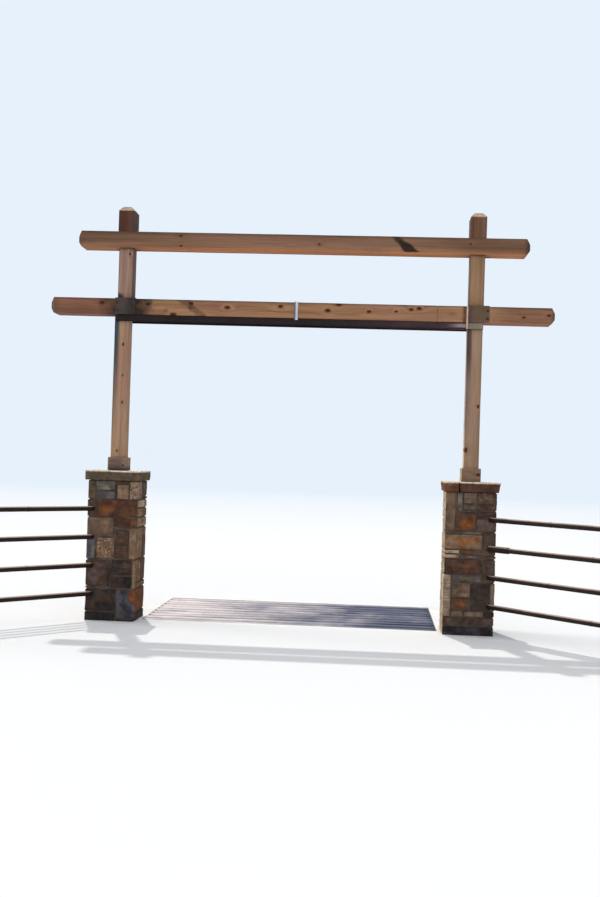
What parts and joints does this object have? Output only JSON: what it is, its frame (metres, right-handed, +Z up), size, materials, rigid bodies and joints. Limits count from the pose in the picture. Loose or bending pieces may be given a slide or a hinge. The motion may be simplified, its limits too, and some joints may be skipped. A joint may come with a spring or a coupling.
{
  "type": "cattle grid",
  "caption": "Ranch entrance: steel-bar cattle grid in a concrete pit frame between square stone piers, which carry a timber gateway of posts and crossbeams, with splayed pipe fences.",
  "frame": {"origin": "on the underside of the foundations, midway between the two piers on their centre line; the drive surface is at z = 0.300", "axes": "+X across the drive to the right, +Y along the drive away from the viewer, +Z up"},
  "size_m": [8.048, 4.6212, 5.348],
  "materials": {
    "ledgestone": "rough, mixed brown and grey stones in recessed mortar",
    "capstone": "rough flagstone",
    "timber": "planed softwood, lightly stained, with knots and iron stains",
    "dark_steel": "dull dark oxide",
    "saddle_steel": "dull weathered grey",
    "galvanized_steel": "bright galvanized",
    "grid_steel": "weathered, worn by tyres",
    "rusty_pipe": "even dark rust",
    "concrete": "broomed pale concrete"
  },
  "bodies": {
    "root": {"beam_channel": "dark_steel", "beam_saddle_left": "saddle_steel", "beam_saddle_right": "saddle_steel", "end_strap": "galvanized_steel", "fence_panel_left": "rusty_pipe", "fence_panel_right": "rusty_pipe", "grid_bar_01": "grid_steel", "grid_bar_02": "grid_steel", "grid_bar_03": "grid_steel", "grid_bar_04": "grid_steel", "grid_bar_05": "grid_steel", "grid_bar_06": "grid_steel", "grid_bar_07": "grid_steel", "grid_bar_08": "grid_steel", "grid_bar_09": "grid_steel", "grid_bar_10": "grid_steel", "grid_bearer_1": "grid_steel", "grid_bearer_2": "grid_steel", "grid_bearer_3": "grid_steel", "grid_bearer_4": "grid_steel", "grid_bearer_5": "grid_steel", "kerb_back": "concrete", "kerb_front": "concrete", "kerb_left": "concrete", "kerb_right": "concrete", "lower_beam": "timber", "lower_beam_end": "timber", "lower_post_left": "timber", "lower_post_right": "timber", "middle_strap": "galvanized_steel", "pier_cap_left": "capstone", "pier_cap_right": "capstone", "pier_left": "ledgestone", "pier_right": "ledgestone", "post_collar_left": "timber", "post_collar_right": "timber", "post_stub_left": "timber", "post_stub_right": "timber", "upper_beam": "timber", "upper_post_left": "timber", "upper_post_right": "timber"}
  },
  "joints": []
}
